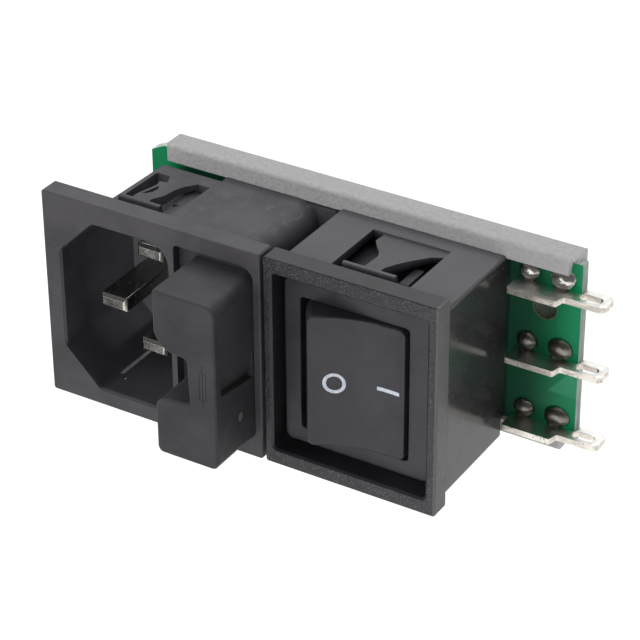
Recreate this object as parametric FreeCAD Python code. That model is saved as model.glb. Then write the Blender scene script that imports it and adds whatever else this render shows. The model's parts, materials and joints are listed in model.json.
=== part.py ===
import FreeCAD, Part
import os, math

os.makedirs("parts", exist_ok=True)
V = FreeCAD.Vector

# Snap-in power entry module: a C14 inlet with a two-pole fuse drawer, a
# two-pole rocker switch in its own housing, and the circuit board behind
# them that carries three tinned tabs.
# Working coordinates, in mm: X runs right along the front, 0 at the inlet
# flange's left edge; Y runs to the rear, 0 at the flange's front face; Z is
# up, 0 at half height.  Every solid is shifted at the end, so that the part's
# origin is the centre of the flange's rear plane, where the panel sits.

# ---------------------------------------------------------------- dimensions
ORIGIN_X, ORIGIN_Y = 28.4, 2.75

INLET_X0, INLET_X1 = -0.15, 32.25      # inlet flange
INLET_HALF_Z = 14.8
FLANGE_T = 2.75
INLET_BODY_X0, INLET_BODY_X1 = 1.5, 30.4
BODY_HALF_Z = 13.5
INLET_BODY_Y1 = 16.2
INLET_REAR_Y1 = 17.3                   # end of the stepped rear block
BODY_DRAFT = 0.031
CHAMFER_C = 6.1                        # body chamfer line z - x

RECESS_X0, RECESS_X1 = 2.40, 18.7      # appliance inlet recess
RECESS_HALF_Z = 12.05
RECESS_MID_Z = -0.3
RECESS_C = 4.7
RECESS_FLOOR_Y = 15.6
RECESS_BEVEL = 0.3
RECESS_R = 3.0

PIN_PITCH_Z = 14.0                     # line to neutral, centre to centre
PIN_X, PIN_EARTH_X = 12.6, 8.65
PIN_Z = -0.2                           # height of the earth pin's middle
PIN_W, PIN_T = 4.0, 2.0
PIN_TIP_Y, PIN_EARTH_TIP_Y = 4.9, 2.05
PIN_END_Y = 17.4
LEG_END_Y = 21.2

DRAWER_POCKET = (19.71, 31.25, 12.55, 2.2)   # x0, x1, half z, floor y
WELL = (20.6, 29.3, 11.6, 14.4)              # x0, x1, half z, rear wall y
DRAWER_PLATE = (19.82, 31.14, 12.44, 1.2, 2.15)
GRIP_X0, GRIP_X1 = 22.22, 31.1
GRIP_TOP_Z, GRIP_BOTTOM_Z = 11.35, -12.0
GRIP_FRONT_Y = -8.55
TRAY = (20.95, 28.95, 11.3, 13.6)
FUSE_R, FUSE_L = 2.6, 20.0
FUSE_X = 24.95
FUSE_Y_FRONT, FUSE_Y_REAR = 5.0, 10.9
CAP_L = 5.0
DRAWER_TRAVEL = 14.0

SW_X0, SW_X1 = 32.65, 56.85            # switch frame
SW_HALF_Z = 14.8
SW_Y0 = 0.05
SW_OPEN_X0, SW_OPEN_X1, SW_OPEN_HALF_Z = 33.8, 55.38, 12.58
SW_BODY_X0, SW_BODY_X1, SW_BODY_HALF_Z = 33.2, 56.6, 13.4
SW_BODY_Y1 = 18.2
LEDGE_Y0, LEDGE_Y1 = 4.0, 5.2
BEZEL_X0, BEZEL_X1, BEZEL_HALF_Z, BEZEL_Y = 34.45, 54.85, 11.65, 2.0
CASE_X0, CASE_X1, CASE_HALF_Z, CASE_Y1 = 35.1, 53.8, 10.9, 15.2
ROCK_OPEN_X0, ROCK_OPEN_X1, ROCK_OPEN_HALF_Z = 36.75, 51.95, 9.4
ROCK_WELL_X1 = 52.15                   # the well behind the bezel's lip
CAVITY_FLOOR_Y = 13.2

PIVOT_X, PIVOT_Y = 44.55, 4.65
ROCKER_HALF_Z = 9.25
TRUNNION_R, TRUNNION_BORE_R = 1.20, 1.25
TILT_DEG = 13.5                        # I side pressed, as stored
POLE_Z = 5.0
LEVER_TILT_DEG = 7.0
LEVER_PIVOT_Y = 10.6

PCB_Y0, PCB_Y1 = 18.5, 19.95
PCB_X0, PCB_X1, PCB_Z0, PCB_Z1 = 4.0, 66.3, -11.4, 14.25
WIRE_HOLE = (61.5, 6.95, 1.55)
TAB_TOPS = (10.35, 0.45, -9.45)
TAB_T = 0.8
TAB_TIP_X = 70.2
DOME_R, DOME_H = 1.62, 0.95


# ------------------------------------------------------------------- helpers
def box(x0, x1, y0, y1, z0, z1):
    return Part.makeBox(x1 - x0, y1 - y0, z1 - z0, V(x0, y0, z0))


def cyl(r, p, q):
    a, b = V(*p), V(*q)
    return Part.makeCylinder(r, (b - a).Length, a, b - a)


def rwire(pts, put):
    # closed outline from corners (u, v, radius); put maps (u, v) to space
    n = len(pts)
    segs = []
    for i in range(n):
        p, c, q = pts[i - 1], pts[i], pts[(i + 1) % n]
        r = c[2] if len(c) > 2 else 0.0
        if r <= 0:
            segs.append((V(c[0], c[1], 0), None, V(c[0], c[1], 0)))
            continue
        a = V(p[0] - c[0], p[1] - c[1], 0)
        b = V(q[0] - c[0], q[1] - c[1], 0)
        a.normalize()
        b.normalize()
        half = a.getAngle(b) / 2.0
        t = r / math.tan(half)
        C = V(c[0], c[1], 0)
        bis = a + b
        bis.normalize()
        m = C + bis * (r / math.sin(half) - r)
        segs.append((C + a * t, m, C + b * t))
    edges = []
    for i in range(n):
        s, m, e = segs[i]
        if m is not None:
            edges.append(Part.Arc(put(s.x, s.y), put(m.x, m.y), put(e.x, e.y)).toShape())
        nx = segs[(i + 1) % n][0]
        if (nx - e).Length > 1e-6:
            edges.append(Part.LineSegment(put(e.x, e.y), put(nx.x, nx.y)).toShape())
    return Part.Wire(edges)


def slab_y(pts, y0, y1):
    w = rwire(pts, lambda u, v: V(u, y0, v))
    return Part.Face(w).extrude(V(0, y1 - y0, 0))


def slab_z(pts, z0, z1):
    w = rwire(pts, lambda u, v: V(u, v, z0))
    return Part.Face(w).extrude(V(0, 0, z1 - z0))


def rrect(x0, x1, hz, r, r_right=None):
    rr = r if r_right is None else r_right
    return [(x0, -hz, r), (x0, hz, r), (x1, hz, rr), (x1, -hz, rr)]


def loft_y(pts0, y0, pts1, y1):
    a = rwire(pts0, lambda u, v: V(u, y0, v))
    b = rwire(pts1, lambda u, v: V(u, y1, v))
    return Part.makeLoft([a, b], True, True)


def fillet_at(shape, r, test):
    es = [e for e in shape.Edges if test(e)]
    return shape.makeFillet(r, es) if es else shape


def on_y(y, tol=1e-4):
    return lambda e: all(abs(v.Y - y) < tol for v in e.Vertexes) and \
        abs(e.BoundBox.YMax - e.BoundBox.YMin) < tol


def fuse(*s):
    out = s[0].multiFuse(list(s[1:])) if len(s) > 1 else s[0]
    return out.removeSplitter()


def turned(shape, deg, x, y):
    t = shape.copy()
    t.rotate(V(x, y, 0), V(0, 0, 1), deg)
    return t


def mirrored_z(shape):
    return shape.mirror(V(0, 0, 0), V(0, 0, 1))


NODES = {}


# ------------------------------------------------------------ inlet housing
def body_outline(d):
    x0, x1, zt, c = INLET_BODY_X0 + d, INLET_BODY_X1, BODY_HALF_Z - d, CHAMFER_C - 1.414 * d
    return [(x0, -(x0 + c), 0.8), (x0, x0 + c, 0.8), (zt - c, zt, 0.3),
            (x1, zt, 3.2), (x1, -zt, 3.2), (zt - c, -zt, 0.3)]


def recess_outline(o):
    x0, x1, zt, c = RECESS_X0 - o, RECESS_X1 + o, RECESS_HALF_Z + o, RECESS_C + 0.414 * o
    pts = [(x0, -(x0 + c), 1.0 + o), (x0, x0 + c, 1.0 + o), (zt - c, zt, 1.0 + o),
           (x1, zt, RECESS_R + o), (x1, -zt, RECESS_R + o), (zt - c, -zt, 1.0 + o)]
    return [(u, v + RECESS_MID_Z, q) for u, v, q in pts]


def latch(win, tongue, bar, z_top, root):
    # cutting tool and the snap tongue of one latch window, on the top wall;
    # root is how far the tongue's root lies under the wall's face
    x0, x1, y0, y1 = win
    slot = slab_z([(x0, y0), (x1, y0), (x1, y1), (x0, y1)], z_top - 1.9, z_top + 1.5)
    front = slab_x([(y0 - 1.25, z_top - 1.9), (y0 + 0.3, z_top - 1.9), (y0 + 0.3, z_top + 0.2),
                    (y0, z_top + 0.2), (y0, z_top - 0.05)], x0, x1 - 1.2)
    t = slab_z(tongue, z_top - 1.0, z_top + 2.0)
    ramp = slab_x([(bar[2] - 0.2, z_top - 1.0), (bar[2] - 0.2, z_top + 0.45), (bar[3], z_top + 0.5),
                   (y1 - 0.4, z_top - root), (y1 + 0.6, z_top - root), (y1 + 0.6, z_top - 1.0)],
                  x0 - 1, x1 + 1)
    t = t.common(ramp)
    b = box(bar[0], bar[1], bar[2], bar[3], z_top - 0.9, z_top + 0.6)
    b = b.makeFillet(0.33, [e for e in b.Edges
                            if abs(e.BoundBox.XMax - e.BoundBox.XMin) > 1 and e.BoundBox.ZMin > z_top])
    return slot.fuse(front), t.fuse(b)


def slab_x(pts, x0, x1):
    w = rwire(pts, lambda u, v: V(x0, u, v))
    return Part.Face(w).extrude(V(x1 - x0, 0, 0))


flange = slab_y(rrect(INLET_X0, INLET_X1, INLET_HALF_Z, 0.4), 0.0, FLANGE_T)
flange = fillet_at(flange, 0.2, on_y(0.0))
d1 = BODY_DRAFT * (INLET_BODY_Y1 - FLANGE_T)
body = loft_y(body_outline(0.0), FLANGE_T - 0.6, body_outline(d1), INLET_BODY_Y1)
body = fillet_at(body, 0.35, on_y(INLET_BODY_Y1))
rear = slab_y([(3.0, -7.6, 0.6), (3.0, 7.6, 0.6), (7.4, 12.0, 0.6), (16.3, 12.0), (16.3, 13.05, 0.2),
               (30.3, 13.05, 3.0), (30.3, -13.05, 3.0), (16.3, -13.05, 0.2), (16.3, -12.0),
               (7.4, -12.0, 0.6)], INLET_BODY_Y1 - 0.3, INLET_REAR_Y1)
posts = [cyl(1.3, (x, 17.0, z), (x, PCB_Y0, z)) for x in (6.2, 24.95) for z in (-8.6, 8.6)]
# block behind the drawer that reaches the board
block = slab_y([(27.0, 12.65, 0.3), (33.05, 12.65, 0.8), (33.05, -10.2, 0.3), (27.0, -10.2, 0.3)],
               INLET_REAR_Y1 - 0.3, PCB_Y0)
inlet = fuse(flange, body, rear, block, *posts)

recess = slab_y(recess_outline(0.0), -1.0, RECESS_FLOOR_Y)
bevel = loft_y(recess_outline(RECESS_BEVEL + 0.02), -0.02, recess_outline(0.0), RECESS_BEVEL)
px0, px1, phz, pfy = DRAWER_POCKET
pocket = slab_y(rrect(px0, px1, phz, 0.5, 1.8), -1.0, pfy)
wx0, wx1, whz, wry = WELL
well = box(wx0, wx1, pfy - 0.5, wry, -whz, whz)
inlet = inlet.cut(recess).cut(bevel).cut(pocket).cut(well)

INLET_WIN = (8.15, 16.22, 4.6, 13.65)
inlet_tongue = [(9.85, 5.3), (9.75, 7.0), (10.3, 10.4), (9.98, 11.6), (10.95, 11.85), (10.15, 13.6),
                (10.1, 13.95), (14.6, 13.95), (14.0, 13.0), (13.35, 11.8), (13.05, 10.5), (12.95, 8.6),
                (12.75, 7.6), (12.3, 6.6), (12.3, 5.3)]
cut_t, tongue_t = latch(INLET_WIN, inlet_tongue, (8.2, 14.3, 4.95, 5.8), BODY_HALF_Z - 0.12, 0.2)
tongue_t = tongue_t.cut(slab_z([(9.98, 7.35), (10.25, 7.8), (10.42, 8.5), (10.5, 9.4), (10.7, 10.4),
                                (11.1, 9.5), (11.08, 8.4), (10.62, 7.55)], 12.8, 15.0))
inlet = inlet.cut(cut_t).cut(mirrored_z(cut_t))
tongue_b = mirrored_z(tongue_t).common(box(0, 30, 0, 20, -15.0, -12.9))
inlet = fuse(inlet, tongue_t, tongue_b)
# thin web under the right-hand slot of the top window, with its small hole
web = box(13.1, 14.92, 6.4, 13.95, 11.72, 12.02)
web = web.cut(cyl(0.4, (13.9, 9.2, 11.5), (13.9, 9.2, 12.5)))
web = web.fuse(box(13.5, 13.66, 10.0, 12.0, 11.9, 12.14))
# the bottom window is closed by a thin web but for a slit along its left side
# and a small notch at the front
floor_web = box(8.0, 16.5, 3.2, 13.8, -12.75, -12.4)
floor_web = floor_web.cut(box(8.5, 8.95, 3.5, 4.1, -13.0, -12.0))
inlet = inlet.cut(box(7.5, 8.6, 4.3, 13.3, -14.0, -12.0))
inlet = inlet.cut(box(7.85, 9.0, 3.45, 4.9, -14.0, -12.7)).cut(box(8.5, 8.95, 3.5, 4.1, -13.0, -12.0))
inlet = fuse(inlet, web, floor_web)
# slots through the rear wall for the fuse clips, and grooves beside the well
for s in (-1, 1):
    zc = s * 8.4
    inlet = inlet.cut(box(29.0, 29.82, 8.3, 19.0, zc - 1.6, zc + 1.6))
    inlet = inlet.cut(box(20.08, 20.9, 2.9, 18.0, zc - 1.6, zc + 1.6))
PINS = {"pin_line": (PIN_X, PIN_Z + PIN_PITCH_Z / 2, PIN_TIP_Y),
        "pin_neutral": (PIN_X, PIN_Z - PIN_PITCH_Z / 2, PIN_TIP_Y),
        "pin_earth": (PIN_EARTH_X, PIN_Z, PIN_EARTH_TIP_Y)}
for x, z, tip in PINS.values():
    inlet = inlet.cut(box(x - PIN_W / 2, x + PIN_W / 2, 15.0, 18.0, z - PIN_T / 2, z + PIN_T / 2))
NODES["inlet_housing"] = inlet


# ------------------------------------------------------------- contact pins
def pin(x, z, tip):
    w, t, c = PIN_W / 2, PIN_T / 2, 0.42
    b = slab_y([(x - w, z - t, 0.3), (x - w, z + t, 0.3), (x + w, z + t, 0.3), (x + w, z - t, 0.3)],
               tip + c, PIN_END_Y)
    nose = loft_y([(x - w + c, z - t + c), (x - w + c, z + t - c), (x + w - c, z + t - c), (x + w - c, z - t + c)],
                  tip, [(x - w, z - t), (x - w, z + t), (x + w, z + t), (x + w, z - t)], tip + c)
    nose = nose.common(slab_y([(x - w, z - t, 0.3), (x - w, z + t, 0.3), (x + w, z + t, 0.3),
                               (x + w, z - t, 0.3)], tip - 1, tip + c))
    b = b.fuse(nose)
    leg = box(x - 1.0, x + 1.0, PIN_END_Y - 0.2, LEG_END_Y, z - 0.5, z + 0.5)
    return fuse(b, leg)


for name, (x, z, tip) in PINS.items():
    NODES[name] = pin(x, z, tip)

# -------------------------------------------------------------- fuse drawer
grip_pts = [(GRIP_X1, GRIP_TOP_Z, 1.5), (GRIP_X1, GRIP_BOTTOM_Z, 0.9), (GRIP_X0, GRIP_BOTTOM_Z, 0.9),
            (GRIP_X0, -4.05, 1.55), (27.2, -3.4, 0.2), (27.0, 2.88, 0.65),
            (GRIP_X0 + 0.05, 3.0, 3.2), (GRIP_X0, GRIP_TOP_Z, 0.4)]
grip = slab_y(grip_pts, GRIP_FRONT_Y, 1.6)


def grip_front(e):
    if not on_y(GRIP_FRONT_Y)(e):
        return False
    b = e.BoundBox
    return b.XMin > 27.5 or b.ZMax > 10.0 or b.ZMin < -10.6


def grip_notch(e):
    return on_y(GRIP_FRONT_Y)(e) and not grip_front(e)


try:
    grip = fillet_at(grip, 0.35, grip_front)
except Exception:
    print("grip front fillet skipped")
scoop_a = [(31.6, 1.9), (31.6, -1.85), (30.45, -1.85), (31.1, 1.9)]
scoop_b = [(31.6, 0.9), (31.6, -2.75), (30.3, -2.75), (31.1, 0.9)]
scoop = loft_y(scoop_a, -7.3, scoop_b, -0.25)
grip = grip.cut(scoop)
grip = grip.cut(cyl(0.8, (31.0, -3.1, -7.1), (31.4, -3.1, -7.1)))
qx0, qx1, qhz, qy0, qy1 = DRAWER_PLATE
plate = slab_y(rrect(qx0, qx1, qhz, 0.45, 1.7), qy0, qy1)
tx0, tx1, thz, ty1 = TRAY
tray = box(tx0, tx1, qy1 - 0.3, ty1, -thz, thz)
# raised fuse symbol: a narrow box on a centre line
sy0, sy1, sw_ = GRIP_FRONT_Y - 0.06, GRIP_FRONT_Y + 0.2, 0.065
sign = [box(x - sw_, x + sw_, sy0, sy1, -2.3, 1.5) for x in (28.74, 29.69)]
sign += [box(28.74, 29.69, sy0, sy1, z - sw_, z + sw_) for z in (-2.3, 1.5)]
sign.append(box(29.2 - sw_, 29.2 + sw_, sy0, sy1, -3.4, 2.6))
drawer = fuse(grip, plate, tray, *sign)
for fy in (FUSE_Y_FRONT, FUSE_Y_REAR):
    drawer = drawer.cut(cyl(FUSE_R + 0.12, (FUSE_X, fy, -10.2), (FUSE_X, fy, 10.2)))
drawer = drawer.cut(box(tx0 - 1, FUSE_X, FUSE_Y_FRONT - 2.5, FUSE_Y_FRONT + 2.5, -10.2, 10.2))
drawer = drawer.cut(box(FUSE_X - FUSE_R - 0.12, FUSE_X + FUSE_R + 0.12, FUSE_Y_REAR, ty1 + 1, -10.2, 10.2))
for s in (-1, 1):
    zc = s * 8.4
    drawer = drawer.cut(box(27.1, 29.5, 9.2, 14.5, zc - 1.75, zc + 1.75))
    drawer = drawer.cut(box(20.5, 22.8, 2.5, 14.5, zc - 1.75, zc + 1.75))
NODES["fuse_drawer"] = drawer

# --------------------------------------------------------------- the fuses
for name, fy in (("front", FUSE_Y_FRONT), ("rear", FUSE_Y_REAR)):
    h = FUSE_L / 2
    glass = cyl(2.45, (FUSE_X, fy, -h + 0.45), (FUSE_X, fy, h - 0.45))
    glass = glass.cut(cyl(1.85, (FUSE_X, fy, -h), (FUSE_X, fy, h)))
    NODES["fuse_glass_" + name] = glass
    caps = []
    for s in (-1, 1):
        a, b = (FUSE_X, fy, s * (h - CAP_L)), (FUSE_X, fy, s * h)
        c = cyl(FUSE_R, a, b).cut(cyl(2.47, (FUSE_X, fy, s * (h - CAP_L - 1)), (FUSE_X, fy, s * (h - 0.4))))
        caps.append(c)
    NODES["fuse_caps_" + name] = Part.makeCompound(caps)
    NODES["fuse_wire_" + name] = cyl(0.12, (FUSE_X, fy, -h + 0.42), (FUSE_X, fy, h - 0.42))


# -------------------------------------------------------------- fuse clips
def strip(path, t, z0, z1):
    # bent strip of thickness t along an XY centre line
    left, right = [], []
    n = len(path)
    for i, (x, y) in enumerate(path):
        ds = []
        if i > 0:
            ds.append(V(x - path[i - 1][0], y - path[i - 1][1], 0).normalize())
        if i < n - 1:
            ds.append(V(path[i + 1][0] - x, path[i + 1][1] - y, 0).normalize())
        d = ds[0] if len(ds) == 1 else (ds[0] + ds[1]).normalize()
        k = 1.0 if len(ds) == 1 else 1.0 / max(0.3, math.cos(ds[0].getAngle(ds[1]) / 2))
        nrm = V(-d.y, d.x, 0) * (t / 2 * k)
        left.append((x + nrm.x, y + nrm.y))
        right.append((x - nrm.x, y - nrm.y))
    return slab_z(left + right[::-1], z0, z1)


for s, tag in ((1, "upper"), (-1, "lower")):
    zc = s * 8.4
    for name, path in (
            ("rear", [(29.58, 17.3), (29.58, 13.4), (27.87, 10.9), (28.5, 9.75)]),
            ("front", [(20.32, 17.3), (20.32, 7.5), (22.03, 5.0), (21.4, 3.9)])):
        blade = strip(path, 0.4, zc - 1.4, zc + 1.4)
        x = path[0][0]
        leg = box(x - 0.2, x + 0.2, 17.2, LEG_END_Y, zc - 0.6, zc + 0.6)
        NODES["fuse_clip_%s_%s" % (name, tag)] = fuse(blade, leg)

# ----------------------------------------------------------- switch housing
frame_ = slab_y(rrect(SW_X0, SW_X1, SW_HALF_Z, 0.4), SW_Y0, FLANGE_T)
frame_ = fillet_at(frame_, 0.22, on_y(SW_Y0))
d2 = BODY_DRAFT * (SW_BODY_Y1 - FLANGE_T) * 0.35
sw = loft_y(rrect(SW_BODY_X0, SW_BODY_X1, SW_BODY_HALF_Z, 0.6), FLANGE_T - 0.4,
            rrect(SW_BODY_X0, SW_BODY_X1, SW_BODY_HALF_Z - d2, 0.6), SW_BODY_Y1)
sw = fuse(frame_, sw)
opening = slab_y(rrect(SW_OPEN_X0, SW_OPEN_X1, SW_OPEN_HALF_Z, 0.5), -1.0, LEDGE_Y0)
lip = loft_y(rrect(SW_OPEN_X0 - 0.3, SW_OPEN_X1 + 0.3, SW_OPEN_HALF_Z + 0.3, 0.8), SW_Y0 - 0.01,
             rrect(SW_OPEN_X0, SW_OPEN_X1, SW_OPEN_HALF_Z, 0.5), SW_Y0 + 0.29)
sw = sw.cut(opening).cut(lip)
sw = sw.cut(box(34.95, 53.95, 3.0, 6.0, -11.05, 11.05))
sw = sw.cut(box(34.3, 55.5, LEDGE_Y1, 19.0, -12.2, 12.2))
# the rear ends of the top and bottom walls stop short of the edge channels
sw = sw.cut(box(33.0, 57.0, 17.4, 19.0, 12.6, 14.0)).cut(box(33.0, 57.0, 17.4, 19.0, -14.0, -10.2))
SW_WIN = (39.45, 50.35, 4.6, 14.9)
sw_tongue = [(43.6, 5.3), (43.5, 9.0), (42.9, 10.3), (41.9, 11.5), (41.0, 12.8), (41.0, 15.4),
             (50.2, 15.4), (50.2, 13.4), (48.9, 12.6), (47.4, 10.2), (46.4, 8.2), (45.8, 6.6), (45.8, 5.3)]
cut_t, tongue_t = latch(SW_WIN, sw_tongue, (40.8, 48.1, 4.95, 5.75), SW_BODY_HALF_Z - 0.03, 0.38)
sw = sw.cut(cut_t).cut(mirrored_z(cut_t))
sw = fuse(sw, tongue_t, mirrored_z(tongue_t))
spacers = [box(x, x + 1.2, 16.5, PCB_Y0, z, z + 1.2) for x in (34.2, 54.4) for z in (-10.0, 11.0)]
sw = fuse(sw, *spacers)
NODES["switch_housing"] = sw

# -------------------------------------------------------------- switch case
bez = slab_y(rrect(BEZEL_X0, BEZEL_X1, BEZEL_HALF_Z, 1.0), BEZEL_Y, LEDGE_Y0)
bez = fillet_at(bez, 0.25, on_y(BEZEL_Y))
case = fuse(bez, slab_y(rrect(CASE_X0, CASE_X1, CASE_HALF_Z, 0.6), LEDGE_Y0 - 0.3, CASE_Y1))
case = case.cut(slab_y(rrect(ROCK_OPEN_X0, ROCK_OPEN_X1, ROCK_OPEN_HALF_Z, 0.5), 1.0, BEZEL_Y + 0.6))
case = case.cut(slab_y(rrect(ROCK_OPEN_X0, ROCK_WELL_X1, ROCK_OPEN_HALF_Z, 0.5), BEZEL_Y + 0.5, CAVITY_FLOOR_Y))
case = case.cut(loft_y(rrect(ROCK_OPEN_X0 - 0.09, ROCK_OPEN_X1 + 0.09, ROCK_OPEN_HALF_Z + 0.09, 0.59),
                       BEZEL_Y - 0.01,
                       rrect(ROCK_OPEN_X0, ROCK_OPEN_X1, ROCK_OPEN_HALF_Z, 0.5), BEZEL_Y + 0.08))
for s in (-1, 1):
    case = case.cut(cyl(TRUNNION_BORE_R, (PIVOT_X, PIVOT_Y, s * 9.0), (PIVOT_X, PIVOT_Y, s * 10.4)))
    case = case.cut(box(PIVOT_X - 2.0, PIVOT_X + 2.0, CAVITY_FLOOR_Y - 1, CASE_Y1 + 1,
                        s * POLE_Z - 0.45, s * POLE_Z + 0.45))
    case = case.cut(box(38.9, 40.5, CAVITY_FLOOR_Y - 1, CASE_Y1 + 1, s * POLE_Z - 0.45, s * POLE_Z + 0.45))
# small hole and nib on the case's top and bottom walls
for s in (-1, 1):
    case = case.cut(cyl(0.5, (42.3, 9.4, s * 10.3), (42.3, 9.4, s * 11.2)))
    case = fuse(case, box(47.6, 48.8, 7.0, 11.0, min(s * 10.8, s * 12.0), max(s * 10.8, s * 12.0)))
NODES["switch_case"] = case

# ------------------------------------------------------------------- rocker
T, S = (6.1, -4.76), 1.10
prof = [Part.Arc(V(-T[0], T[1], 0), V(0, T[1] + S, 0), V(T[0], T[1], 0)).toShape()]
side = [(T[0], T[1]), (6.95, -2.5), (7.33, -0.7), (-7.33, -0.7), (-6.95, -2.5), (-T[0], T[1])]
for a, b in zip(side, side[1:]):
    prof.append(Part.LineSegment(V(a[0], a[1], 0), V(b[0], b[1], 0)).toShape())
rk = Part.Face(Part.Wire(prof))
rk.translate(V(0, 0, -ROCKER_HALF_Z))
rk = rk.extrude(V(0, 0, 2 * ROCKER_HALF_Z))


def rounded_wire(x, y, hz, r):
    k = r * (1 - math.sqrt(0.5))
    pts = [(-x + r, -hz), (x - r, -hz), (x, -hz + r), (x, hz - r),
           (x - r, hz), (-x + r, hz), (-x, hz - r), (-x, -hz + r)]
    mid = {1: (x - k, -hz + k), 3: (x - k, hz - k), 5: (-x + k, hz - k), 7: (-x + k, -hz + k)}
    es = []
    for i in range(8):
        p, q = V(pts[i][0], y, pts[i][1]), V(pts[(i + 1) % 8][0], y, pts[(i + 1) % 8][1])
        if i in mid:
            es.append(Part.Arc(p, V(mid[i][0], y, mid[i][1]), q).toShape())
        else:
            es.append(Part.LineSegment(p, q).toShape())
    return Part.Wire(es)


def rocker_front(e):
    b = e.BoundBox
    return b.YMax < T[1] + S + 0.2 and b.YMin < T[1] + 0.01


# the four corners, seen from the front, are rounded along the sloping ends
slope = (6.95 - T[0]) / (-2.5 - T[1])
ends = Part.makeLoft([rounded_wire(T[0] + slope * (-6.2 - T[1]), -6.2, ROCKER_HALF_Z, 0.9),
                      rounded_wire(6.95, -2.5, ROCKER_HALF_Z, 0.9)], True, True)
ends = ends.fuse(Part.makeLoft([rounded_wire(6.95, -2.5, ROCKER_HALF_Z, 0.9),
                                rounded_wire(7.33, -0.7, ROCKER_HALF_Z, 0.9)], True, True))
rk = rk.common(ends).removeSplitter()
rk = fillet_at(rk, 0.22, rocker_front)
rk = rk.cut(box(-5.8, 5.8, -2.45, 1.0, -8.0, 8.0))
ears = [cyl(2.3, (0, 0, s * 8.0), (0, 0, s * ROCKER_HALF_Z)) for s in (-1, 1)]
trun = [cyl(TRUNNION_R, (0, 0, s * (ROCKER_HALF_Z - 0.3)), (0, 0, s * 10.3)) for s in (-1, 1)]
sleeves = [cyl(1.9, (0, -2.7, s * POLE_Z), (0, 2.6, s * POLE_Z)) for s in (-1, 1)]
ties = [box(-0.5, 0.5, -2.7, 1.6, min(s * 6.5, s * 8.2), max(s * 6.5, s * 8.2)) for s in (-1, 1)]
rk = fuse(rk, *(ears + trun + sleeves + ties))
for s in (-1, 1):
    rk = rk.cut(cyl(1.25, (0, -2.4, s * POLE_Z), (0, 4.0, s * POLE_Z)))


def place_rocker(shape):
    t = shape.copy()
    t.translate(V(PIVOT_X, PIVOT_Y, 0))
    t.rotate(V(PIVOT_X, PIVOT_Y, 0), V(0, 0, 1), TILT_DEG)
    return t


NODES["rocker"] = place_rocker(rk)

for s, tag in ((1, "upper"), (-1, "lower")):
    zc = s * POLE_Z
    pl = fuse(cyl(1.2, (0, 1.0, zc), (0, 3.6, zc)), Part.makeSphere(1.2, V(0, 3.6, zc)))
    NODES["plunger_" + tag] = place_rocker(pl)
    # five-turn compression spring between the sleeve's end and the plunger
    hlx = Part.makeHelix(0.62, 3.0, 0.9)
    prof_c = Part.Wire(Part.makeCircle(0.14, V(0.9, 0, 0), V(0, 1, 0)))
    sp = Part.Wire(hlx.Edges).makePipeShell([prof_c], True, True)
    sp.rotate(V(0, 0, 0), V(1, 0, 0), -90)
    sp.translate(V(0, -2.2, zc))
    NODES["spring_" + tag] = place_rocker(sp)

# ------------------------------------------- contact levers and terminals
for s, tag in ((1, "upper"), (-1, "lower")):
    zc = s * POLE_Z
    lev = box(-5.6, 5.2, -0.95, -0.35, zc - 1.4, zc + 1.4)
    lev = lev.makeFillet(0.6, [e for e in lev.Edges if abs(e.BoundBox.YMax - e.BoundBox.YMin) > 0.5])
    lev.translate(V(PIVOT_X, LEVER_PIVOT_Y, 0))
    lev = turned(lev, -LEVER_TILT_DEG, PIVOT_X, LEVER_PIVOT_Y)
    NODES["contact_lever_" + tag] = lev
    but = cyl(1.0, (-4.75, -0.35, zc), (-4.75, 0.25, zc))
    but.translate(V(PIVOT_X, LEVER_PIVOT_Y, 0))
    NODES["moving_contact_" + tag] = turned(but, -LEVER_TILT_DEG, PIVOT_X, LEVER_PIVOT_Y)
    # pivot terminal: a round-topped blade under the lever, out through the floor
    piv = fuse(cyl(0.3, (PIVOT_X, LEVER_PIVOT_Y, zc - 1.2), (PIVOT_X, LEVER_PIVOT_Y, zc + 1.2)),
               box(PIVOT_X - 0.3, PIVOT_X + 0.3, LEVER_PIVOT_Y, CAVITY_FLOOR_Y, zc - 1.2, zc + 1.2),
               box(PIVOT_X - 2.0, PIVOT_X + 2.0, CAVITY_FLOOR_Y - 0.6, 16.4, zc - 0.4, zc + 0.4),
               box(PIVOT_X - 0.6, PIVOT_X + 0.6, 16.2, LEG_END_Y, zc - 0.4, zc + 0.4))
    NODES["pivot_terminal_" + tag] = piv
    con = fuse(box(38.1, 41.2, 12.25, CAVITY_FLOOR_Y, zc - 1.3, zc + 1.3),
               box(38.95, 40.45, CAVITY_FLOOR_Y - 0.2, 16.4, zc - 0.4, zc + 0.4),
               box(39.1, 40.3, 16.2, LEG_END_Y, zc - 0.4, zc + 0.4))
    NODES["contact_terminal_" + tag] = con
    fixed = cyl(1.0, (39.7, 11.62, zc), (39.7, 12.25, zc))
    NODES["fixed_contact_" + tag] = fixed

# ------------------------------------------------------------ circuit board
pcb_pts = [(PCB_X0, PCB_Z0, 0.3), (PCB_X0, 13.3, 0.3), (6.0, PCB_Z1, 0.3), (PCB_X1, PCB_Z1, 0.3), (PCB_X1, PCB_Z0, 0.3)]
pcb = slab_y(pcb_pts, PCB_Y0, PCB_Y1)
holes = [(x, z, 1.2, 0.7) for x, z, tip in PINS.values()]
holes += [(29.58, s * 8.4, 0.35, 0.75) for s in (-1, 1)]
holes += [(20.32, s * 8.4, 0.35, 0.75) for s in (-1, 1)]
holes += [(PIVOT_X, s * POLE_Z, 0.8, 0.55) for s in (-1, 1)]
holes += [(39.7, s * POLE_Z, 0.8, 0.55) for s in (-1, 1)]
for z in TAB_TOPS:
    holes += [(59.3, z - 0.4, 0.75, 0.55), (63.1, z - 0.4, 0.75, 0.55)]
for x, z, a, b in holes:
    pcb = pcb.cut(box(x - a, x + a, 18, 21, z - b, z + b))
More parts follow.
